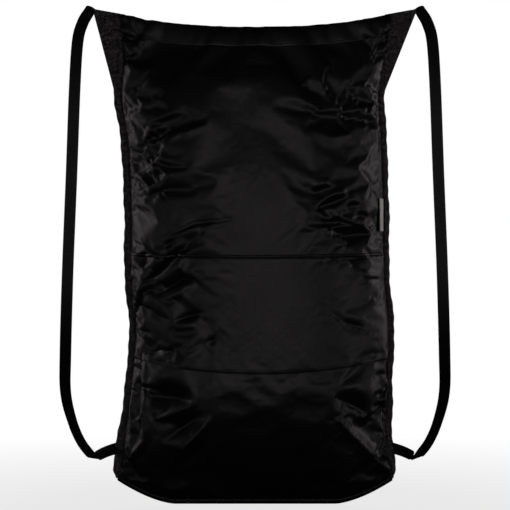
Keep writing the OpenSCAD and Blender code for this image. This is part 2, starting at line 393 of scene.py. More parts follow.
# ---------------------------------------------------------------- cloth simulation
def new_mesh(name, points, faces):
    mesh = bpy.data.meshes.new(name)
    mesh.from_pydata([tuple(p) for p in points], [], faces)
    mesh.update()
    return mesh


def new_object(name, data):
    made = bpy.data.objects.new(name, data)
    bpy.context.scene.collection.objects.link(made)
    return made


def grid_quads(rows, cols, turned=False):
    index = np.arange((rows + 1) * (cols + 1)).reshape(rows + 1, cols + 1)
    quads = np.stack([index[:-1, :-1], index[:-1, 1:], index[1:, 1:], index[1:, :-1]], axis=-1)
    quads = quads.reshape(-1, 4)
    return quads[:, ::-1] if turned else quads


def settle(grid, hold, spare, frames=24, cap=11 * MM):
    """Lets a grid of cloth settle. hold keeps a point in place; spare cloth makes folds."""
    rows, cols = grid.shape[0] - 1, grid.shape[1] - 1
    mesh = new_mesh("settling", grid.reshape(-1, 3), grid_quads(rows, cols).tolist())
    cloth = new_object("settling", mesh)
    most = float(spare.max())
    for name, values in (("hold", hold), ("taut", 1 - spare / most)):
        group = cloth.vertex_groups.new(name=name)
        for index, weight in enumerate(np.clip(values, 0, 1).ravel()):
            group.add([index], float(weight), "REPLACE")
    modifier = cloth.modifiers.new("Cloth", "CLOTH")
    settings = modifier.settings
    settings.quality = 6
    settings.mass = 0.1
    settings.air_damping = 3
    settings.bending_stiffness = 0.6
    settings.vertex_group_mass = "hold"
    settings.vertex_group_shrink = "taut"
    settings.shrink_min = -most
    settings.shrink_max = 0
    settings.effector_weights.gravity = 0
    modifier.collision_settings.use_self_collision = False
    modifier.collision_settings.use_collision = False
    modifier.point_cache.frame_start = 1
    modifier.point_cache.frame_end = frames
    scene = bpy.context.scene
    for number in range(1, frames + 1):
        scene.frame_set(number)
    shown = cloth.evaluated_get(bpy.context.evaluated_depsgraph_get())
    places = np.zeros(len(mesh.vertices) * 3, np.float32)
    shown.data.vertices.foreach_get("co", places)
    scene.frame_set(1)
    bpy.data.objects.remove(cloth)
    bpy.data.meshes.remove(mesh)
    moved = places.reshape(grid.shape).astype(float) - grid
    length = np.linalg.norm(moved, axis=-1, keepdims=True)
    return grid + moved * np.minimum(1, cap / np.maximum(length, 1e-9))


def near_edges(u, v):
    """1 on the seams and the mouth, falling to 0 within a couple of centimetres."""
    from_sides = np.clip((1 - np.abs(u)) / 0.02, 0, 1)
    from_bottom = np.clip(v / 0.015, 0, 1)
    from_mouth = np.clip((1 - v) / 0.01, 0, 1)
    return 1 - from_sides * from_bottom * from_mouth


def smooth_hill(x, z, cx, cz, rx, rz):
    """A soft hill of height 1 at cx, cz, in millimetres."""
    return np.exp(-((x / MM - cx) / rx) ** 2 - ((z / MM - cz) / rz) ** 2)


def off_smooth_edge(x, z):
    """1, falling to 0 beside the lower left seam, where the cloth has no puckers."""
    return 1 - smooth_hill(x, z, -147, 120, 22, 85)


def raised(grid, side, u, v, heights, share=1.0):
    """The grid with heights added along its normals, except on its edges."""
    heights = heights * ((1 - near_edges(u, v) ** 2) * share)
    return grid + grid_normals(grid, side) * heights[..., None]


# Hills of surplus cloth in the front: share, then middle and reach in millimetres.
SURPLUS = [(0.07, -112, 425, 45, 60), (0.09, 115, 345, 45, 50), (0.07, -115, 265, 45, 55),
           (0.05, 120, 470, 60, 40), (0.02, 20, 500, 120, 40), (0.03, -120, 110, 45, 60),
           (0.05, 130, 110, 45, 60), (0.04, -150, 560, 30, 30), (0.04, 150, 560, 30, 30)]
LABEL_PRESS = math.radians(8)       # the label can be pressed nearly this far down


def give_way_to_label(points):
    """Presses the front's cloth in under the label."""
    x, y, z = points[..., 0], points[..., 1], points[..., 2]
    slope = (label_high.x - label_low.x) / (label_high.y - label_low.y) + math.tan(LABEL_PRESS)
    room = label_high.x + slope * (y - label_high.y) - 1.5 * MM
    beside = (np.exp(-((z - (label_low.z + label_high.z) / 2) / (27 * MM)) ** 8)
              * np.exp(-(np.clip(label_low.y - 2 * MM - y, 0, None) / (7 * MM)) ** 2))
    points[..., 0] -= np.clip(x - room, 0, None) * beside
    return points


def front_surface():
    """The front panel's shown surface, as a fine grid of points."""
    u, v = grid_uv(ACROSS, UPWARD)
    smooth = sack_points(FRONT, u, v)
    x, z = smooth[..., 0], smooth[..., 2]
    seeds = sum(fold(x, z, *f) for f in FRONT_FOLDS if f[1] >= BROAD)
    seeds += side_pleats(x, z, 3) * 0.5 * off_smooth_edge(x, z)
    grid = raised(smooth, FRONT, u, v, seeds, 0.8)
    calm = smooth_hill(x, z, 20, 270, 85, 120)
    spare = np.full(x.shape, 0.004)
    for share, *hill in SURPLUS:
        spare += share * smooth_hill(x, z, *hill)
    spare *= 1 - 0.9 * calm
    spare *= 0.2 + 0.8 * off_smooth_edge(x, z)
    grid = settle(grid, np.maximum(near_edges(u, v), 0.04 + 0.2 * calm), spare)
    fine = refine(grid, FINER)
    x, z = fine[..., 0], fine[..., 2]
    heights = side_pleats(x, z, 5) * 0.3 * off_smooth_edge(x, z) + bottom_pleats(x, z, 9) * 0.5
    heights += sum(0.7 * fold(x, z, *f) for f in FRONT_FOLDS if f[1] < BROAD)
    u, v = grid_uv(ACROSS * FINER, UPWARD * FINER)
    return give_way_to_label(raised(fine, FRONT, u, v, heights))


def back_surface():
    """The back panel's shown surface, with scattered folds in place of the unseen ones."""
    u, v = grid_uv(ACROSS, UPWARD)
    smooth = sack_points(BACK, u, v)
    x, z = smooth[..., 0], smooth[..., 2]
    seeds = loose_folds(x, z, 21, 26, 130) + side_pleats(x, z, 13) * 0.5
    grid = raised(smooth, BACK, u, v, seeds, 0.6)
    sides = smooth_hill(np.abs(x), z, 115, 300, 45, 260)
    grid = settle(grid, np.maximum(near_edges(u, v), 0.02), 0.015 + 0.035 * sides)
    fine = refine(grid, FINER)
    x, z = fine[..., 0], fine[..., 2]
    u, v = grid_uv(ACROSS * FINER, UPWARD * FINER)
    return raised(fine, BACK, u, v, side_pleats(x, z, 15) * 0.5 + bottom_pleats(x, z, 19) * 0.6)


class Surface:
    """A fine grid of points that other pieces are laid on."""

    def __init__(self, grid, side):
        self.grid = grid
        self.side = side
        self.normals = grid_normals(grid, side)
        self.rows = grid.shape[0] - 1
        self.cols = grid.shape[1] - 1

    def at(self, u, v, lift=0.0):
        """Points at u and v, lifted off the surface along its normal."""
        u, v, lift = np.broadcast_arrays(u, v, lift)
        i = (np.arcsin(np.clip(u, -1, 1)) / (math.pi / 2) + 1) / 2 * self.cols
        j = np.clip(v, 0, 1) ** (1 / V_POWER) * self.rows
        i0 = np.clip(np.floor(i).astype(int), 0, self.cols - 1)
        j0 = np.clip(np.floor(j).astype(int), 0, self.rows - 1)
        fi, fj = (i - i0)[..., None], (j - j0)[..., None]

        def mixed(values):
            low = values[j0, i0] * (1 - fi) + values[j0, i0 + 1] * fi
            high = values[j0 + 1, i0] * (1 - fi) + values[j0 + 1, i0 + 1] * fi
            return low * (1 - fj) + high * fj
        normals = unit(mixed(self.normals))
        return mixed(self.grid) + normals * lift[..., None], normals


# ---------------------------------------------------------------- materials
def nodes_of(name):
    material = bpy.data.materials.new(name)
    material.use_nodes = True
    tree = material.node_tree
    return material, tree, tree.nodes["Principled BSDF"]


def feed(tree, node, inputs):
    """Links a node's inputs to sockets, or sets them to plain values."""
    for key, value in inputs.items():
        if isinstance(value, bpy.types.NodeSocket):
            tree.links.new(value, node.inputs[key])
        else:
            node.inputs[key].default_value = value


def add(tree, kind, inputs=None, **settings):
    node = tree.nodes.new(kind)
    for key, value in settings.items():
        setattr(node, key, value)
    feed(tree, node, inputs or {})
    return node


def maths(tree, operation, a, b=None, c=None):
    inputs = {k: x for k, x in enumerate((a, b, c)) if x is not None}
    return add(tree, "ShaderNodeMath", inputs, operation=operation).outputs[0]


def weighted(tree, *terms):
    """The sum of (socket, weight) pairs."""
    total = None
    for value, weight in terms:
        part = value if weight == 1 else maths(tree, "MULTIPLY", value, weight)
        total = part if total is None else maths(tree, "ADD", total, part)
    return total


def cloth_place(tree):
    """The fabric's own coordinates in millimetres, as x and y sockets and a vector."""
    spread = add(tree, "ShaderNodeAttribute", attribute_name="cloth").outputs["Vector"]
    scaled = add(tree, "ShaderNodeVectorMath", {0: spread, "Scale": 1 / MM},
                 operation="SCALE").outputs[0]
    split = add(tree, "ShaderNodeSeparateXYZ", {0: scaled})
    return split.outputs[0], split.outputs[1], scaled


def wave(tree, value, period):
    """A wave of height 0 to 1 with the given period in millimetres."""
    turned = maths(tree, "SINE", maths(tree, "MULTIPLY", value, 2 * math.pi / period))
    return maths(tree, "MULTIPLY_ADD", turned, 0.5, 0.5)


def noise(tree, vector, scale, detail=2.0, rough=0.5):
    node = add(tree, "ShaderNodeTexNoise",
               {"Vector": vector, "Scale": scale, "Detail": detail, "Roughness": rough})
    return node.outputs[0]


def ramp(tree, value, low, high, start=0.0, end=1.0):
    return add(tree, "ShaderNodeMapRange",
               {0: value, 1: start, 2: end, 3: low, 4: high}).outputs[0]


def blend_colours(tree, share, a, b):
    return add(tree, "ShaderNodeMix", {0: share, 6: (*a, 1), 7: (*b, 1)},
               data_type="RGBA").outputs[2]


def bump(tree, height, strength, distance, normal=None):
    inputs = {"Height": height, "Strength": strength, "Distance": distance}
    if normal is not None:
        inputs["Normal"] = normal
    return add(tree, "ShaderNodeBump", inputs).outputs[0]


def nylon_material():
    """Thin black ripstop: fine ribs, a faint grid of thicker yarns, soft crumple, low sheen."""
    material, tree, shader = nodes_of("black_nylon")
    x, y, place = cloth_place(tree)
    ribs = wave(tree, x, 2.4)
    weft = wave(tree, y, 1.2)
    grid = maths(tree, "MAXIMUM", maths(tree, "POWER", wave(tree, x, 7.2), 24),
                 maths(tree, "POWER", wave(tree, y, 7.2), 24))
    crumple = noise(tree, place, 0.11, 4, 0.55)
    fine = noise(tree, place, 0.5, 3, 0.6)
    normal = bump(tree, crumple, 0.10, 0.0022)
    normal = bump(tree, fine, 0.10, 0.0006, normal)
    weave = weighted(tree, (ribs, 0.8), (weft, 0.35), (grid, 0.6))
    patches = noise(tree, place, 0.02, 3, 0.5)
    worn = ramp(tree, patches, 0.0, 1.0, 0.35, 0.7)
    feed(tree, shader, {
        "Base Color": blend_colours(tree, worn, (0.0036, 0.0031, 0.0033),
                                    (0.0060, 0.0053, 0.0055)),
        "Roughness": weighted(tree, (ramp(tree, patches, 0.38, 0.46, 0.3, 0.7), 1),
                              (fine, 0.06)),
        "Specular IOR Level": 0.5, "Sheen Weight": 0.01, "Sheen Roughness": 0.4,
        "Normal": bump(tree, weave, 0.12, 0.0003, normal)})
    return material


def coarse_tape_material():
    """Open, coarse woven tape with light flecks between dark yarns."""
    material, tree, shader = nodes_of("coarse_tape")
    x, y, place = cloth_place(tree)
    over = wave(tree, maths(tree, "ADD", x, y), 3.3)
    under = wave(tree, maths(tree, "SUBTRACT", x, y), 3.3)
    yarns = maths(tree, "MULTIPLY", over, under)
    speckle = noise(tree, place, 0.24, 4, 0.8)
    height = weighted(tree, (yarns, 1), (speckle, 0.8))
    fleck = ramp(tree, weighted(tree, (yarns, 0.22), (speckle, 1)), 0.0, 1.0, 0.5, 0.76)
    feed(tree, shader, {
        "Base Color": blend_colours(tree, fleck, (0.003, 0.0028, 0.0028), (0.26, 0.245, 0.24)),
        "Roughness": 0.7, "Sheen Weight": 0.03, "Normal": bump(tree, height, 1.0, 0.0012)})
    return material


def webbing_material():
    """Flat black webbing with a herringbone face and denser edges."""
    material, tree, shader = nodes_of("black_webbing")
    x, y, place = cloth_place(tree)
    slant = maths(tree, "PINGPONG", x, 1.75)
    ridges = wave(tree, weighted(tree, (y, 1), (slant, 1.1)), 1.9)
    columns = wave(tree, x, 1.75)
    fuzz = noise(tree, place, 0.7, 3, 0.75)
    height = weighted(tree, (ridges, 0.8), (columns, 0.3), (fuzz, 0.4))
    edge = ramp(tree, maths(tree, "ABSOLUTE", maths(tree, "SUBTRACT", x, STRAP_W / MM / 2)),
                0.0, 1.0, 4.6, 6.4)
    # painted shade: the webbing is darker and less glossy towards its top and towards its lower
    # fold, and paler between, where the lights reach it
    painted_light_share = maths(tree, "MULTIPLY", ramp(tree, y, 0.15, 1.0, 10.0, 150.0),
                   ramp(tree, y, 1.0, 0.06, 320.0, 420.0))
    grain = noise(tree, place, 0.2, 4, 0.8)
    shade = weighted(tree, (maths(tree, "MULTIPLY", ridges, fuzz), 1), (edge, 0.35), (grain, 1))
    shade = ramp(tree, maths(tree, "MULTIPLY", shade, painted_light_share), 0.0, 1.0, 0.25, 1.2)
    feed(tree, shader, {
        # base colour and specular level carry the painted shade along the strap
        "Base Color": blend_colours(tree, shade, (0.0022, 0.0021, 0.0021), (0.06, 0.057, 0.057)),
        "Specular IOR Level": ramp(tree, painted_light_share, 0.12, 0.7),
        "Roughness": 0.5, "Sheen Weight": 0.02, "Normal": bump(tree, height, 0.8, 0.0008)})
    return material


def thread_material():
    """Black sewing thread, two plies twisted together."""
    material, tree, shader = nodes_of("black_thread")
    x, y, _ = cloth_place(tree)
    twist = wave(tree, weighted(tree, (x, 1), (y, 0.8)), 0.5)
    feed(tree, shader, {
        "Base Color": blend_colours(tree, twist, (0.003, 0.0028, 0.0028),
                                    (0.013, 0.0124, 0.0124)),
        "Roughness": 0.75, "Specular IOR Level": 0.25, "Normal": bump(tree, twist, 0.5, 0.0002)})
    return material


def label_material():
    """Blank white woven satin label."""
    material, tree, shader = nodes_of("white_label")
    x, y, place = cloth_place(tree)
    threads = weighted(tree, (wave(tree, y, 0.45), 1), (wave(tree, x, 0.9), 0.5))
    dust = noise(tree, place, 0.25, 3, 0.6)
    feed(tree, shader, {
        "Base Color": blend_colours(tree, dust, (0.95, 0.95, 0.93), (0.88, 0.87, 0.85)),
        "Roughness": 0.5, "Sheen Weight": 0.3, "Normal": bump(tree, threads, 0.35, 0.0002)})
    return material


# Each stuff is a material and the slot it goes in.
NYLON = (nylon_material(), "shell_fabric")
TAPE = (coarse_tape_material(), "binding_tape")
WEBBING = (webbing_material(), "webbing")
THREAD = (thread_material(), "thread")
SATIN = (label_material(), "label")


# ---------------------------------------------------------------- pieces
def make_piece(name, points, faces, cloth, stuff, normals=None):
    """A mesh object: cloth holds each point's place on the fabric in metres."""
    mesh = new_mesh(name, points, [list(map(int, f)) for f in faces])
    layer = mesh.attributes.new("cloth", "FLOAT_VECTOR", "POINT")
    flat = np.zeros((len(points), 3), np.float32)
    flat[:, :2] = cloth
    layer.data.foreach_set("vector", flat.ravel())
    mesh.polygons.foreach_set("use_smooth", np.ones(len(mesh.polygons), bool))
    if normals is not None:
        mesh.normals_split_custom_set_from_vertices([tuple(n) for n in normals])
    material, slot = stuff
    mesh.materials.append(material)
    piece = new_object(name, mesh)
    return piece


def cinch(piece, hand):
    """Bakes the piece's placement into its mesh; hand (-1 or 1) is not used."""
    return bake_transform(piece)


def sheet(name, points, normals, cloth, thickness, stuff, side, open_edge=None):
    """A closed sheet from a grid of points on its outer face.
    open_edge names the side that another sheet goes on from: left or right."""
    rows, cols = points.shape[0] - 1, points.shape[1] - 1
    count = (rows + 1) * (cols + 1)
    inner = points - normals * thickness
    outer_quads = grid_quads(rows, cols, turned=side == BACK)
    inner_quads = grid_quads(rows, cols, turned=side == FRONT) + count
    index = np.arange(count).reshape(rows + 1, cols + 1)
    rims = [index[0, :], index[-1, ::-1]]
    if open_edge != "right":
        rims.append(index[:, -1])
    if open_edge != "left":
        rims.append(index[::-1, 0])
    faces = [outer_quads, inner_quads]
    for rim in rims:
        quads = np.stack([rim[:-1], rim[:-1] + count, rim[1:] + count, rim[1:]], axis=-1)
        faces.append(quads if side == FRONT else quads[:, ::-1])
    all_points = np.concatenate([points.reshape(-1, 3), inner.reshape(-1, 3)])
    all_normals = np.concatenate([normals.reshape(-1, 3), -normals.reshape(-1, 3)])
    all_cloth = np.concatenate([cloth.reshape(-1, 2)] * 2)
    return make_piece(name, all_points, np.concatenate(faces), all_cloth, stuff, all_normals)


def cloth_of(points, side):
    """Each grid point's place on the flat fabric: distance from the middle, and height."""
    across = runs(points, 1)
    across -= across[:, points.shape[1] // 2][:, None]
    places = [a * 0.35 + a.mean(axis=k, keepdims=True) * 0.65
              for k, a in enumerate((across, runs(points, 0)))]
    places[1] += 0.7 if side == BACK else 0         # so the back's weave isn't the front's
    return np.stack(places, axis=-1)


def halves(name, points, normals, cloth, thickness, stuff, side, finish):
    """Cuts a sheet at its middle column into a left and a right half, and finishes each."""
    middle = points.shape[1] // 2
    made = []
    for hand, cut, edge in ((-1, slice(0, middle + 1), "right"),
                            (1, slice(middle, None), "left")):
        piece = sheet(f"{name}_{HANDS[hand]}", points[:, cut], normals[:, cut], cloth[:, cut],
                      thickness, stuff, side, edge)
        finish(piece, hand)
        made.append(piece)
    return made


HEM_V = 1 - HEM_H / (MOUTH_MIDDLE - SEAM_H)
PANEL_T = 0.7 * MM


def build_panel(name, surface):
    last = int((HEM_V + 0.012) ** (1 / V_POWER) * surface.rows)
    points = surface.grid[:last + 1]
    normals = surface.normals[:last + 1]
    made = halves(name, points, normals, cloth_of(points, surface.side), PANEL_T,
                  NYLON, surface.side, cinch)
    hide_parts(name)


def tube_faces(steps, count, start=True, end=True):
    """Faces of a tube of steps rings, count points each, with a cap at either end."""
    index = np.arange(steps * count).reshape(steps, count)
    after = np.roll(index, -1, axis=1)
    faces = list(np.stack([index[:-1], after[:-1], after[1:], index[1:]], -1).reshape(-1, 4))
    return faces + [index[0, ::-1]] * start + [index[-1]] * end


def build_hem(name, surface, seed):
    """Flattened tube round the mouth's edge, puckered where the tape runs through it."""
    rng = np.random.default_rng(seed)
    cells, ring, puckers = 168, 22, 40
    u = u_of(np.arange(cells + 1), cells) * 0.985
    around = np.linspace(0, 2 * math.pi, ring, endpoint=False)
    pucker = np.zeros(cells + 1)
    arc = np.arange(cells + 1)
    for _ in range(puckers):
        centre = rng.uniform(0, cells)
        pucker += rng.uniform(-0.6, 0.8) * np.exp(-((arc - centre) / rng.uniform(1.5, 3.5)) ** 2)
    up = HEM_V + (1 - HEM_V) * (0.5 - 0.5 * np.sign(np.cos(around)) * np.abs(np.cos(around)) ** 0.6)
    out = np.sign(np.sin(around)) * np.abs(np.sin(around)) ** 0.8
    rise = np.clip((up - HEM_V) / (0.4 * (1 - HEM_V)), 0, 1)
    lift = ((0.1 + 1.3 * rise + 1.7 * out * (0.35 + 0.65 * rise))[:, None]
            + 0.8 * pucker[None] * np.clip(out, 0, 1)[:, None]) * MM
    grid_u, grid_v = np.meshgrid(u, up)
    points, _ = surface.at(grid_u, grid_v, lift)
    cloth = np.stack([points[..., 0] + 0.003 * out[:, None],
                      0.55 + np.broadcast_to(around[:, None], (ring, cells + 1)) * 8 * MM],
                     axis=-1)
    middle = cells // 2
    for hand, part in ((-1, slice(0, middle + 1)), (1, slice(middle, None))):
        rings = points[:, part].swapaxes(0, 1)
        faces = tube_faces(*rings.shape[:2], start=hand < 0, end=hand > 0)
        if surface.side == FRONT:
            faces = [face[::-1] for face in faces]
        piece = make_piece(f"{name}_{HANDS[hand]}", rings.reshape(-1, 3), faces,
                           cloth[:, part].swapaxes(0, 1).reshape(-1, 2), NYLON)
        cinch(piece, hand)
        if hand < 0:
            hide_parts(name)


def ribbon(name, left, right, face, thickness, stuff, rounding=0.35):
    """A flat band between two edges, with rounded sides. face is its normal at each step."""
    left, right, face = (np.asarray(a, float) for a in (left, right, face))
    width = np.linalg.norm(right - left, axis=-1, keepdims=True)
    across = (right - left) / np.maximum(width, 1e-9)
    inset = thickness * rounding
    half = thickness / 2

    def rim(edge, inward, steps):
        return [edge + across * inset * share * 2 * inward + face * half * lift
                for share, lift in steps]

    def flat(lift, shares):
        return [left + across * (inset * 2 + (width - inset * 4) * share) + face * half * lift
                for share in shares]
    ring = np.stack(rim(left, 1, ((0, 0), (0.15, 0.8), (1, 1))) + flat(1, (0.25, 0.5, 0.75))
                    + rim(right, -1, ((1, 1), (0.15, 0.8), (0, 0), (0.15, -0.8), (1, -1)))
                    + flat(-1, (0.75, 0.5, 0.25)) + rim(left, 1, ((1, -1), (0.15, -0.8))),
                    axis=1)
    run = runs((left + right) / 2, 0)
    from_left = np.linalg.norm(ring - left[:, None], axis=-1)
    cloth = np.stack([from_left, np.broadcast_to(run[:, None], from_left.shape)], axis=-1)
    return make_piece(name, ring.reshape(-1, 3), tube_faces(*ring.shape[:2]),
                      cloth.reshape(-1, 2), stuff)


def smooth_line(points, steps):
    """A smooth line through points."""
    points = np.asarray(points, float)
    places = np.arange((len(points) - 1) * steps + 1) / steps
    return catmull(len(points) - 1, places) @ points


def tangents(line):
    return unit(np.gradient(line, axis=0))


def spots(x, y, z):
    """Points from x, y and z, each an array or one number."""
    return np.stack(np.broadcast_arrays(x, y, z), axis=-1)


def stitches(name, line, normals, pitch, length=0.72, radius=0.34 * MM, slant=0.0):
    """A row of stitches along line, each a short lozenge of thread pressed into the cloth."""
    line = np.asarray(line, float)
    run = runs(line, 0)
    places = np.arange(pitch / 2, run[-1], pitch)

    def at_places(values):
        return np.stack([np.interp(places, run, column) for column in values.T], axis=-1)
    centre = at_places(line)
    along = unit(at_places(tangents(line)))
    normal = unit(at_places(np.broadcast_to(normals, line.shape)))
    beside = np.cross(along, normal)
    if slant:
        signs = np.where(np.arange(len(places)) % 2, 1, -1)[:, None]
        along, beside = (along * math.cos(slant) + beside * signs * math.sin(slant),
                         beside * math.cos(slant) - along * signs * math.sin(slant))
    sides = 6
    rings = ((-1.0, 0.25), (-0.7, 0.8), (0.0, 1.0), (0.7, 0.8), (1.0, 0.25))
    half = pitch * length / 2
    points = []
    for place, size in rings:
        for k in range(sides):
            angle = 2 * math.pi * k / sides
            points.append(centre + along * half * place
                          + (beside * math.cos(angle) + normal * math.sin(angle)) * radius * size)
    points = np.stack(points, axis=1)
    count = points.shape[1]
    faces = [face + n * count for n in range(len(places))
             for face in tube_faces(len(rings), sides)]
    cloth = np.stack([np.tile(np.repeat(np.linspace(0, 3 * MM, len(rings)), sides), len(places)),
                      np.tile(np.tile(np.arange(sides) * 0.3 * MM, len(rings)), len(places))], -1)
    return make_piece(name, points.reshape(-1, 3), faces, cloth, THREAD)


# ---------------------------------------------------------------- the sack
front = Surface(front_surface(), FRONT)
back = Surface(back_surface(), BACK)
build_panel("front_panel", front)
build_panel("back_panel", back)
build_hem("front_hem", front, 31)
build_hem("back_hem", back, 32)


def build_hem_stitches(name, surface):
    """Two rows of stitches that hold the hem's lower edge."""
    for hand, side_name in HANDS.items():
        u = hand * np.linspace(0.002, 0.965, 160)
        for row, v in enumerate((HEM_V + 0.004, HEM_V + 0.009)):
            line, normals = surface.at(u, v, (1.9 + 0.9 * row) * MM)
            cinch(stitches(f"{name}_stitches_{side_name}_{row + 1}", line, normals, 2.8 * MM,
                           radius=0.26 * MM), hand)


build_hem_stitches("front_hem", front)
build_hem_stitches("back_hem", back)


def build_draw_tape(name, surface):
    """The webbing inside a hem."""
    for hand, side_name in HANDS.items():
        u = np.linspace(0, 0.975, 120)
        u = -u[::-1] if hand < 0 else u
        grid_u, share = np.meshgrid(u, np.linspace(0.21, 0.79, 7))
        points, normals = surface.at(grid_u, HEM_V + (1 - HEM_V) * share, 1.6 * MM)
        cloth = np.stack([share * HEM_H, points[..., 0]], -1)
        piece = sheet(f"{name}_{side_name}", points, normals, cloth, STRAP_T, WEBBING,
                      surface.side)
        cinch(piece, hand)
        if hand < 0:
            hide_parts(name)


build_draw_tape("front_draw_tape", front)
build_draw_tape("back_draw_tape", back)


# ---------------------------------------------------------------- the pocket
def pocket_bottom(u):
    return pocket_low.z + 16 * MM * u * u


def pocket_top(u):
    return pocket_high.z + (1.5 - 3.0 * (1 - u * u)) * MM


def flex(piece, hand):
    """Bakes the piece's placement into its mesh; hand is not used."""
    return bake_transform(piece)


POCKET_HEM = 3.8 * MM


def build_pocket():
    """The patch pocket: its sheet with a stitched hem, and its double bottom seam."""
    cols = ACROSS * FINER
    u = u_of(np.arange(cols + 1), cols)
    hem_share = 8 * MM / (pocket_high.z - pocket_low.z)
    t = np.concatenate([np.linspace(0, 1 - hem_share, 64)[:-1], np.linspace(1 - hem_share, 1, 22)])
    grid_u, grid_t = np.meshgrid(u, t)
    bottom, top = pocket_bottom(grid_u), pocket_top(grid_u)
    z = bottom + (top - bottom) * grid_t
    below_top = top - z
    stands = np.exp(-(below_top / (26 * MM)) ** 2)
    lift = (0.9 + 0.9 * np.clip(grid_t / 0.02, 0, 1) + 0.5 * stands) * MM
    lift -= 0.6 * MM * np.exp(-((below_top - POCKET_HEM) / (1.1 * MM)) ** 2)
    lift -= 1.2 * MM * np.clip(1 - below_top / (1.2 * MM), 0, 1) ** 2
    lift *= np.clip((1 - np.abs(grid_u)) / 0.015, 0.25, 1)
    points, _ = front.at(grid_u, v_at(grid_u, z), lift)
    normals = grid_normals(points, FRONT)
    cloth = cloth_of(points, FRONT) + np.array([0, 1.4])
    made = halves("front_pocket", points, normals, cloth, 1.0 * MM, NYLON,
                  FRONT, flex)
    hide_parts("front_pocket")
    for hand, side_name in HANDS.items():
        line_u = hand * np.linspace(0.002, 0.975, 150)
        rows_of = (("hem", pocket_top(line_u) - POCKET_HEM, 1.7),
                   ("seam", pocket_bottom(line_u) + 1.4 * MM, 1.5),
                   ("seam", pocket_bottom(line_u) + 4.8 * MM, 2.0))
        for number, (kind, level, height) in enumerate(rows_of):
            line, normal = front.at(line_u, v_at(line_u, level), height * MM)
            piece = stitches(f"pocket_{kind}_stitches_{side_name}_{number + 1}", line, normal,
                             2.8 * MM, radius=0.3 * MM)
            flex(piece, hand)


build_pocket()


# ---------------------------------------------------------------- seam tapes and wings
def side_line(hand, z):
    """The side seam's x at height z, with the sack's sway."""
    return hand * half_width(z) + sway(z)


def build_side_tape(hand):
    """Coarse tape over a side seam, with a row of stitches on each face."""
    name = f"side_binding_{HANDS[hand]}"
    z = np.linspace(tape_low.z - 2 * MM, WING_BOTTOM + 6 * MM, 150)
    wobble = 0.5 * MM * np.sin(z / MM * 0.11 + hand) + 0.35 * MM * np.sin(z / MM * 0.37)
    inner = side_line(hand, z) - hand * 0.8 * MM
    trimmed = 1 - 0.7 * np.exp(-((z - z[0]) / (7 * MM)) ** 2)
    outer = side_line(hand, z) + hand * (TAPE_W[hand] + wobble) * trimmed
    y = 0.5 * MM * np.sin(z / MM * 0.05 + 2 * hand)
    if hand > 0:        # the label presses the tape back where it can lie over it
        y += 1.5 * MM / (1 + ((z - (label_low.z + label_high.z) / 2) / (34 * MM)) ** 6)
    left, right = spots(inner, y, z), spots(outer, y, z)
    if hand < 0:
        left, right = right, left
    piece = ribbon(name + "_tape", left, right, (0, -1, 0), 2.6 * MM, TAPE, 0.5)
    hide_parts(name)
    cinch(piece, hand)
    for side, side_name in FACES.items():
        line = spots(inner + hand * 2.2 * MM, y + side * 1.35 * MM, z)
        cinch(stitches(f"{name}_stitches_{side_name}", line, (0, side, 0), 3.2 * MM), hand)


def build_bottom_tape():
    """Overlocked tape round the bottom seam, level where the sack rests on it."""
    u = np.linspace(-1, 1, 161)
    level = base_height(u)
    x = half_width(level) * u + sway(level)
    piece = ribbon("bottom_binding_tape", spots(x, -1.0 * MM, level + SEAM_H + 0.6 * MM),
                   spots(x, 2.6 * MM, level + 1.0 * MM), (0, -0.84, -0.54), 2.4 * MM, NYLON, 0.5)
    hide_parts("bottom_binding")
    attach(piece, "shell")
    for side, side_name in FACES.items():
        line = spots(x, (0.8 + side * 1.1) * MM, level + (3.9 + side * 0.7) * MM)
        row = stitches(f"bottom_overlock_{side_name}", line, (0, 0.84 * side, 0.54 * side),
                       2.4 * MM, slant=math.radians(62), length=1.9)
        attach(row, "shell")


def build_wing(hand):
    """Triangle of coarse tape at a corner of the mouth."""
    name = f"wing_{HANDS[hand]}"
    rows, cols = 40, 18
    t = np.linspace(0, 1, rows + 1)
    top = MOUTH_MIDDLE + MOUTH_RISE
    z_in = WING_BOTTOM + (top - WING_BOTTOM) * t
    x_in = half_width(z_in) - 7 * MM + hand * sway(z_in)
    tip_x, tip_z = -WING_TIP.x, WING_TIP.z
    outer_low = hand * side_line(hand, np.array(WING_BOTTOM)) + TAPE_W[hand]
    x_out = outer_low + (tip_x - outer_low) * t
    z_out = WING_BOTTOM + (tip_z - WING_BOTTOM) * t
    share = np.linspace(0, 1, cols + 1)[None]
    x = x_in[:, None] * (1 - share) + x_out[:, None] * share
    z = z_in[:, None] * (1 - share) + z_out[:, None] * share
    y = 0.6 * MM * np.sin(z / MM * 0.16) * share
    half = (1.0 - 0.6 * np.clip((share - 0.9) / 0.1, 0, 1) ** 2) * MM * np.ones_like(x)
    points = spots(x * hand, y - half, z)
    if hand < 0:
        points, half = points[:, ::-1], half[:, ::-1]
    normals = np.zeros_like(points)
    normals[..., 1] = -1
    piece = sheet(name + "_tape", points, normals, points[..., [0, 2]], 2 * half[..., None],
                  TAPE, FRONT)
    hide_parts(name)
    cinch(piece, hand)


for hand in HANDS:
    build_side_tape(hand)
    build_wing(hand)
build_bottom_tape()


# ---------------------------------------------------------------- straps
joints = {j["name"]: j for j in frame["joints"]}
# How far the strap hangs out from its swing axis, from the wing's tip down to the fold.
STRAP_BOW = [(1.004, -3.0), (0.991, 2.0), (0.967, 10.0), (0.925, 17.0), (0.82, 23.5),
             (0.63, 32.5), (0.405, 43.5), (0.215, 51.5), (0.13, 53.5), (0.066, 47.5),
             (0.018, 38.0), (-0.019, 24.0)]
# Turn of the webbing about its own length, in degrees, at shares of the way down.
STRAP_TURN = [(0, 0), (0.06, -32), (0.16, -8), (0.55, 4), (0.72, -26), (0.82, -44), (1, -50)]


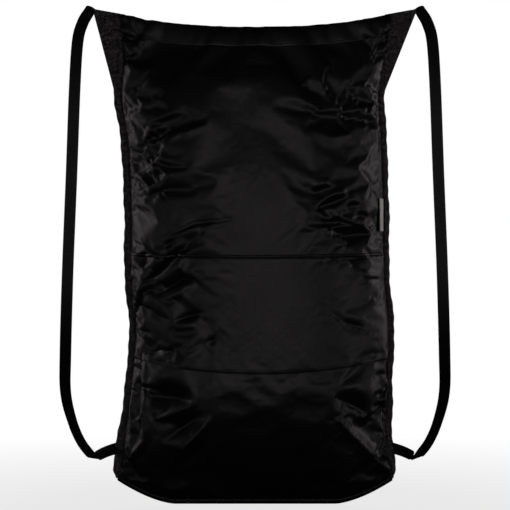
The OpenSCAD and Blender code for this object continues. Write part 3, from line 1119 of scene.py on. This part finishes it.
def build_strap(hand):
    """A webbing strap from the wing's tip down to its fold, and the short end sewn in."""
    side_name = HANDS[hand]
    body = f"{side_name}_strap"
    swing = joints[f"{side_name}_strap_swing"]
    foot = np.array(swing["pos_m"])
    axis = np.array(swing["axis"])
    span = (WING_TIP.z - foot[2]) / axis[2]
    bow = np.array(STRAP_BOW)
    line = foot + axis * span * bow[:, :1] + np.array([hand, 0, 0]) * bow[:, 1:] * MM
    line = smooth_line(line, 10)
    along = tangents(line)
    share = np.linspace(0, 1, len(line))
    turn = np.radians(np.interp(share, *np.array(STRAP_TURN).T)) * hand
    flat = np.cross(along, [0, 1, 0])
    flat = unit(np.cross(along, [0, 1, 0]))
    out = np.cross(flat, along)
    wide = flat * np.cos(turn)[:, None] + out * np.sin(turn)[:, None]
    face = np.cross(wide, along)
    line[:, 1] += 2.5 * MM * np.sin(share * math.pi * 1.5)
    # the webbing folds over at its lowest point, across the line between its two directions
    sewn = foot + np.array([-hand * 6 * MM, 0, 2 * MM])
    back_along = unit(sewn - line[-1])
    crease = along[-1] + back_along
    crease = crease / np.linalg.norm(crease) * 0.95 - np.array([0, 0.85, 0]) * hand
    for step, near in ((-4, 0.1), (-3, 0.3), (-2, 0.65), (-1, 1.0)):
        wide[step] = wide[step] * (1 - near) - crease * near * hand
    rounded = np.ones((len(line), 1))
    rounded[:6, 0] = (0.1, 0.5, 0.72, 0.86, 0.94, 0.98)
    left = line - wide * STRAP_W / 2 * (rounded if hand < 0 else 1)
    right = line + wide * STRAP_W / 2 * (rounded if hand > 0 else 1)
    piece = ribbon(f"strap_{side_name}_webbing", left, right, face, STRAP_T, WEBBING)
    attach(piece, body)
    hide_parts(f"strap_{side_name}")
    # the short end that is sewn into the side seam
    t = np.linspace(0, 1, 16)[:, None]
    short = line[-1] * (1 - t) + sewn * t + np.array([0, 0, 1.5 * MM]) * np.sin(t * math.pi)
    flat = np.cross([0, 1, 0], tangents(short)) * -hand
    lean = np.radians(35 - 20 * t) * -hand
    tilt = flat * np.cos(lean) - np.array([0, 1, 0]) * np.sin(lean)
    for step, near in ((0, 1.0), (1, 0.6), (2, 0.2)):
        tilt[step] = tilt[step] * (1 - near) - crease * near * hand
    face = np.cross(tilt, tangents(short))
    face = unit(face)
    piece = ribbon(f"strap_{side_name}_sewn_end", short - tilt * STRAP_W / 2,
                   short + tilt * STRAP_W / 2, face, STRAP_T, WEBBING)
    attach(piece, body)


def build_tacks(hand):
    """Bars of thread at the wing's tip and at the strap's sewn end, on both faces."""
    side_name = HANDS[hand]
    for node, body in ((f"wing_tack_{side_name}", f"{side_name}_wing"),
                       (f"anchor_tack_{side_name}", f"{side_name}_anchor")):
        low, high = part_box(node)
        bars = 2 if high.x - low.x > 4 * MM else 1
        for side, face_name in FACES.items():
            for bar in range(bars):
                x = low.x + (high.x - low.x) * (0.5 if bars == 1 else (0.15 + 0.7 * bar))
                line = spots(x, side * 1.4 * MM, np.linspace(low.z, high.z, 20))
                piece = stitches(f"{node}_{face_name}_{bar + 1}", line, (0, side, 0), 1.3 * MM,
                                 slant=math.radians(80), length=2.2)
                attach(piece, body)
                if side == FRONT and bar == 0:
                    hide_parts(node)


for hand in HANDS:
    build_strap(hand)
    build_tacks(hand)


# ---------------------------------------------------------------- label
def build_label():
    """A woven label folded in two, with its cut ends in the side seam."""
    swing = joints["label_swing"]
    root = np.array(swing["pos_m"])
    tip = np.array([label_low.x + 0.5 * MM, label_low.y, root[2]])
    out = tip - root
    out[2] = 0
    length = np.linalg.norm(out)
    out /= length
    beside = np.array([-out[1], out[0], 0])
    t = np.linspace(0, 1, 15)
    gap = 0.3 * MM + 0.3 * MM * np.sin(t * math.pi)
    go = root + out * (length * t)[:, None] + beside * gap[:, None]
    bend = [root + out * (length + 0.4 * MM * math.cos(a)) + beside * 0.3 * MM * math.sin(a)
            for a in np.linspace(math.pi / 2, -math.pi / 2, 7)[1:-1]]
    come = (root + out * (length * t)[:, None] - beside * gap[:, None])[::-1]
    line = np.concatenate([go, bend, come])
    bow = 0.6 * MM * np.sin(np.linspace(0, math.pi, len(line)))
    along = tangents(line)
    face = np.cross(along, [0, 0, 1])
    lower = spots(line[:, 0], line[:, 1], label_low.z)
    upper = spots(line[:, 0], line[:, 1], label_high.z)
    upper[:, :2] -= beside[None, :2] * bow[:, None]
    piece = ribbon("side_label_loop", lower, upper, face, 0.35 * MM, SATIN)
    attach(piece, "label")
    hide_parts("side_label")


build_label()


# ---------------------------------------------------------------- studio
def area_light(name, place, target, size, power, colour=(1, 1, 1)):
    light = bpy.data.lights.new(name, "AREA")
    light.shape = "RECTANGLE"
    light.size, light.size_y = size
    light.energy = power
    light.color = colour
    lamp = new_object(name, light)
    lamp.location = place
    lamp.rotation_euler = (Vector(target) - Vector(place)).to_track_quat("-Z", "Y").to_euler()


def build_studio():
    """White background, soft lights round the sack, and a pale floor that fades out."""
    scene = bpy.context.scene
    scene.view_settings.view_transform = "Standard"
    world = bpy.data.worlds.new("studio")
    scene.world = world
    world.use_nodes = True
    tree = world.node_tree
    background = tree.nodes["Background"]
    sees = add(tree, "ShaderNodeLightPath").outputs["Is Camera Ray"]
    white = add(tree, "ShaderNodeBackground", {"Color": (1, 1, 1, 1), "Strength": 1.0})
    background.inputs["Color"].default_value = (1, 1, 1, 1)
    background.inputs["Strength"].default_value = 0.001
    mix = add(tree, "ShaderNodeMixShader", {0: sees, 1: background.outputs[0],
                                            2: white.outputs[0]})
    tree.links.new(mix.outputs[0], tree.nodes["World Output"].inputs["Surface"])

    warm = (1.0, 0.93, 0.945)
    area_light("front_soft", (0, -2.2, 0.375), (0, 0, 0.355), (2.2, 0.62), 4.6, warm)
    area_light("left_soft", (-1.75, -1.15, 0.05), (0, 0, 0.28), (0.9, 0.5), 1.1, warm)
    area_light("right_soft", (1.75, -1.15, 0.05), (0, 0, 0.28), (0.9, 0.5), 1.8, warm)
    area_light("top_soft", (0, -1.4, 1.6), (0, 0, 0.45), (1.6, 0.6), 0.35, warm)
    area_light("left_strip", (-1.2, 0.42, 0.50), (0, 0, 0.42), (0.35, 0.9), 1.8, warm)
    area_light("right_strip", (1.2, 0.35, 0.50), (0, 0, 0.42), (0.35, 0.9), 2.2, warm)
    area_light("back_soft", (0.3, 2.2, 0.7), (0, 0, 0.34), (2.0, 1.0), 10)

    # a pale floor that fades into the white background
    size = 6.0
    mesh = new_mesh("floor", [(-size, -size, 0), (size, -size, 0), (size, size, 0),
                              (-size, size, 0)], [[0, 1, 2, 3]])
    floor = new_object("floor", mesh)
    floor.location.z = -0.2 * MM
    material, tree, shader = nodes_of("pale_floor")
    shader.inputs["Base Color"].default_value = (0.86, 0.86, 0.85, 1)
    shader.inputs["Roughness"].default_value = 0.8
    place = add(tree, "ShaderNodeTexCoord").outputs["Object"]
    away = add(tree, "ShaderNodeVectorMath", {0: place}, operation="LENGTH").outputs["Value"]
    fade = ramp(tree, away, 0.78, 1.0, 0.25, 1.0)
    glow = add(tree, "ShaderNodeEmission", {"Color": (1, 1, 1, 1), "Strength": 1.0})
    mixed = add(tree, "ShaderNodeMixShader", {0: fade, 1: shader.outputs[0],
                                              2: glow.outputs[0]})
    tree.links.new(mixed.outputs[0], tree.nodes["Material Output"].inputs["Surface"])
    floor.data.materials.append(material)
    floor.visible_glossy = False
    floor.visible_diffuse = False
    floor.visible_shadow = False        # the side lights reach below the floor


def build_camera():
    """Level with the middle of the sack, straight in front, through a long lens."""
    low, high = cad_bounds
    lens, sensor = 150.0, 36.0
    shown_width = 612 * MM
    distance = shown_width * lens / sensor
    camera = bpy.data.cameras.new("camera")
    camera.lens = lens
    camera.sensor_width = sensor
    holder = new_object("camera", camera)
    aim = Vector((0, 0, (low.z + high.z) / 2 + 2 * MM))
    holder.location = aim + Vector((0, -distance, 0))
    holder.rotation_euler = (aim - holder.location).to_track_quat("-Z", "Y").to_euler()
    bpy.context.scene.camera = holder


build_studio()
build_camera()
